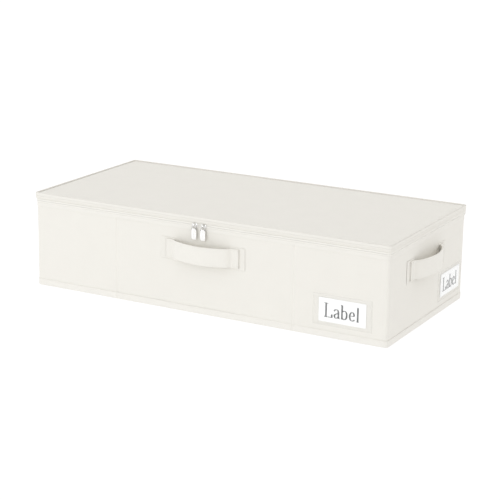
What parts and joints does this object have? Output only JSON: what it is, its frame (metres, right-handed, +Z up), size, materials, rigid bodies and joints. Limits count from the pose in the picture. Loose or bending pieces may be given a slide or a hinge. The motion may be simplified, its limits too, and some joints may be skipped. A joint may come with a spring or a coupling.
{
  "type": "under bed storage box",
  "caption": "Low fabric storage box with a zipped hinged lid, strap handles, a loose base board and clear label pockets.",
  "frame": {"origin": "middle of the box's footprint, on the surface that it stands on", "axes": "+X along the front to the viewer's right, +Y from the front to the back, +Z up"},
  "size_m": [0.7866, 0.3733, 0.185],
  "materials": {
    "cover_fabric": "matte cream canvas",
    "lining_fabric": "matte cream non-woven lining",
    "binding_fabric": "matte cream binding tape",
    "strap_fabric": "matte cream folded canvas strap",
    "stiffening_board": "grey pressed paperboard",
    "zip_tape_fabric": "fine cream zip tape",
    "zip_teeth": "satin cream nylon coil",
    "slider_metal": "bright nickel plate",
    "clear_film": "clear flexible film",
    "paper_card": null
  },
  "bodies": {
    "box": {"outer_wrap": "cover_fabric", "bottom_panel": "cover_fabric", "inner_lining": "lining_fabric", "bottom_hem_binding": "binding_fabric", "top_edge_binding": "binding_fabric", "hinge_strip_lower": "binding_fabric", "front_board_left": "stiffening_board", "front_board_middle": "stiffening_board", "front_board_right": "stiffening_board", "back_board_left": "stiffening_board", "back_board_middle": "stiffening_board", "back_board_right": "stiffening_board", "left_end_board": "stiffening_board", "right_end_board": "stiffening_board", "lower_zip_tape": "zip_tape_fabric", "lower_zip_teeth": "zip_teeth", "front_handle_strap": "strap_fabric", "left_handle_strap": "strap_fabric", "right_handle_strap": "strap_fabric", "front_handle_patches": "strap_fabric", "left_handle_patches": "strap_fabric", "right_handle_patches": "strap_fabric", "front_label_pocket": "clear_film", "right_label_pocket": "clear_film"},
    "base_board": {"base_board_core": "stiffening_board", "base_board_cover": "lining_fabric"},
    "lid": {"lid_top_fabric": "cover_fabric", "lid_side_band": "cover_fabric", "lid_lining": "lining_fabric", "lid_edge_piping": "binding_fabric", "hinge_strip_upper": "binding_fabric", "lid_board": "stiffening_board", "upper_zip_tape": "zip_tape_fabric", "upper_zip_teeth": "zip_teeth"},
    "left_slider": {"left_slider": "slider_metal"},
    "right_slider": {"right_slider": "slider_metal"},
    "left_pull": {"left_zip_pull": "slider_metal"},
    "right_pull": {"right_zip_pull": "slider_metal"},
    "front_card": {"front_label_card": "paper_card"},
    "right_card": {"right_label_card": "paper_card"}
  },
  "joints": [
    {"name": "lid_hinge", "type": "hinge", "parent": "box", "child": "lid", "pos_m": [0, 0.17745, 0.17], "axis": [-1, 0, 0], "range_deg": [0, 180]},
    {"name": "base_board_lift", "type": "slide", "parent": "box", "child": "base_board", "axis": [0, 0, 1], "range_m": [0, 0.12]},
    {"name": "left_slider_run", "type": "slide", "parent": "lid", "child": "left_slider", "axis": [-1, 0, 0], "range_m": [0, 0.34]},
    {"name": "right_slider_run", "type": "slide", "parent": "lid", "child": "right_slider", "axis": [1, 0, 0], "range_m": [0, 0.35]},
    {"name": "left_pull_swing", "type": "hinge", "parent": "left_slider", "child": "left_pull", "pos_m": [-0.0154, -0.1793, 0.1694], "axis": [-1, 0, 0], "range_deg": [0, 175]},
    {"name": "right_pull_swing", "type": "hinge", "parent": "right_slider", "child": "right_pull", "pos_m": [0.0034, -0.1793, 0.1694], "axis": [-1, 0, 0], "range_deg": [0, 175]},
    {"name": "front_card_slide", "type": "slide", "parent": "box", "child": "front_card", "axis": [0, 0, 1], "range_m": [0, 0.05]},
    {"name": "right_card_slide", "type": "slide", "parent": "box", "child": "right_card", "axis": [0, 0, 1], "range_m": [0, 0.02]}
  ]
}
